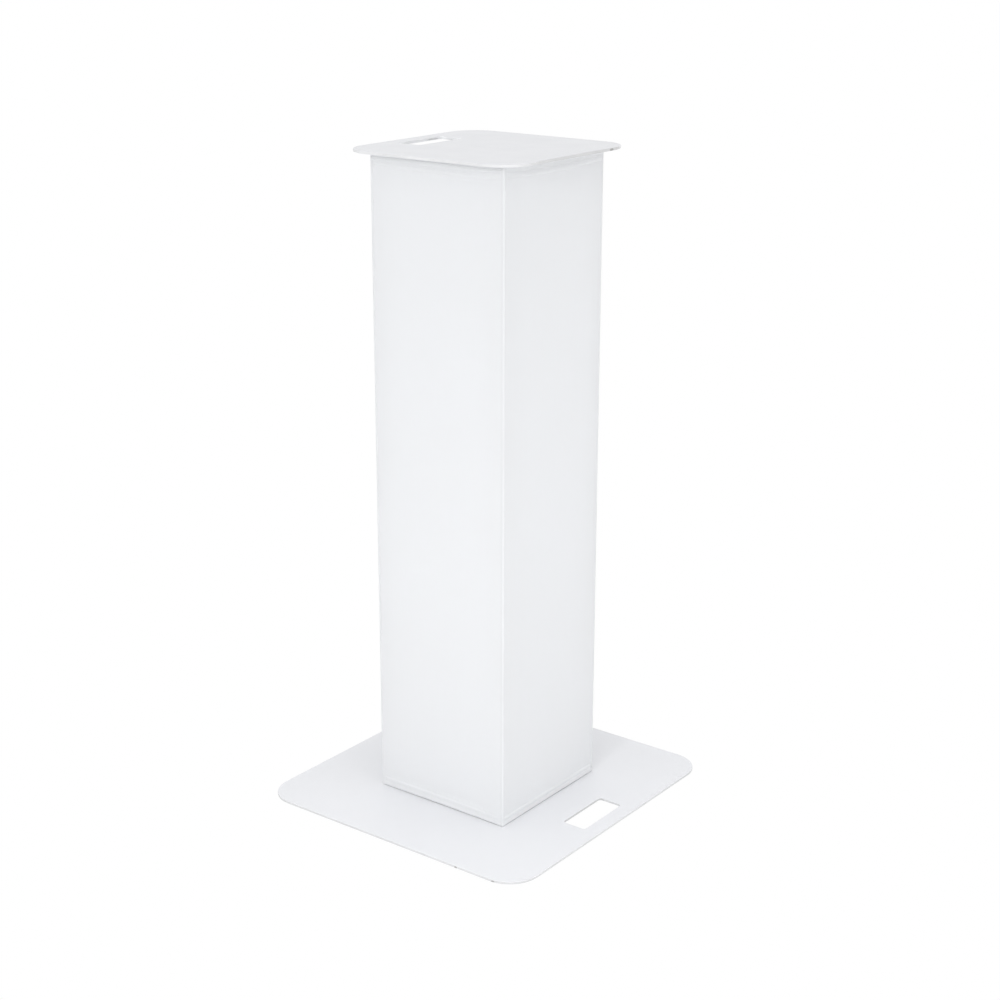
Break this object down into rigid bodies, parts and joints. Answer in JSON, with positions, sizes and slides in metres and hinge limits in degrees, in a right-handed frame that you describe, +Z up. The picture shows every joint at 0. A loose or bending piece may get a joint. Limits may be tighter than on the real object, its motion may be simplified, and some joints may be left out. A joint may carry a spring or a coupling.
{
  "type": "covered display stand",
  "caption": "Square column stand in a zipped stretch cover, with a steel base plate and top plate, for a lamp, speaker or display piece.",
  "frame": {"origin": "on the floor under the middle of the base plate, at the pads' lower faces", "axes": "+Z up the column, -Y the front wall, +Y the rear wall with the zip, +X the side with the base plate's carry slot"},
  "size_m": [0.496, 0.513, 1.01],
  "materials": {
    "plate_powder_coat": "satin fine-texture powder coat",
    "frame_powder_coat": "satin powder coat",
    "zinc_steel": "bright zinc plate",
    "pad_rubber": "matt",
    "stretch_cloth": "matt knitted polyester and elastane",
    "seam_cloth": "matt, topstitched",
    "elastic_webbing": "ribbed woven elastic",
    "zip_tape_cloth": "woven polyester tape",
    "zip_nylon": "moulded nylon coil",
    "zip_metal": "gloss lacquer on zinc alloy"
  },
  "bodies": {
    "stand": {"base_plate": "plate_powder_coat", "base_spigot_front_left": "frame_powder_coat", "base_spigot_front_right": "frame_powder_coat", "base_spigot_rear_left": "frame_powder_coat", "base_spigot_rear_right": "frame_powder_coat", "bottom_hem_elastic": "elastic_webbing", "corner_seam_front_left": "seam_cloth", "corner_seam_front_right": "seam_cloth", "corner_seam_rear_left": "seam_cloth", "corner_seam_rear_right": "seam_cloth", "cover_front_panel": "stretch_cloth", "cover_left_panel": "stretch_cloth", "cover_rear_left_panel": "stretch_cloth", "cover_rear_right_panel": "stretch_cloth", "cover_right_panel": "stretch_cloth", "floor_pad_front_left": "pad_rubber", "floor_pad_front_right": "pad_rubber", "floor_pad_rear_left": "pad_rubber", "floor_pad_rear_right": "pad_rubber", "lower_screws": "zinc_steel", "lower_washers": "zinc_steel", "lower_weld_nuts": "zinc_steel", "post_front_left": "frame_powder_coat", "post_front_right": "frame_powder_coat", "post_rear_left": "frame_powder_coat", "post_rear_right": "frame_powder_coat", "top_hem_elastic": "elastic_webbing", "top_plate": "plate_powder_coat", "top_spigot_front_left": "frame_powder_coat", "top_spigot_front_right": "frame_powder_coat", "top_spigot_rear_left": "frame_powder_coat", "top_spigot_rear_right": "frame_powder_coat", "upper_screws": "zinc_steel", "upper_washers": "zinc_steel", "upper_weld_nuts": "zinc_steel", "zip_retaining_box": "zip_nylon", "zip_tape_left": "zip_tape_cloth", "zip_tape_right": "zip_tape_cloth", "zip_teeth_left": "zip_nylon", "zip_teeth_right": "zip_nylon", "zip_top_stops": "zip_metal"},
    "zip_slider": {"zip_slider": "zip_metal"},
    "zip_pull": {"zip_pull_tab": "zip_metal"}
  },
  "joints": [
    {"name": "zip_slide", "type": "slide", "parent": "stand", "child": "zip_slider", "axis": [0, 0, 1], "range_m": [-0.931, 0]},
    {"name": "zip_pull_swing", "type": "hinge", "parent": "zip_slider", "child": "zip_pull", "pos_m": [0, 0.12435, 0.9707], "axis": [1, 0, 0], "range_deg": [0, 175]}
  ]
}
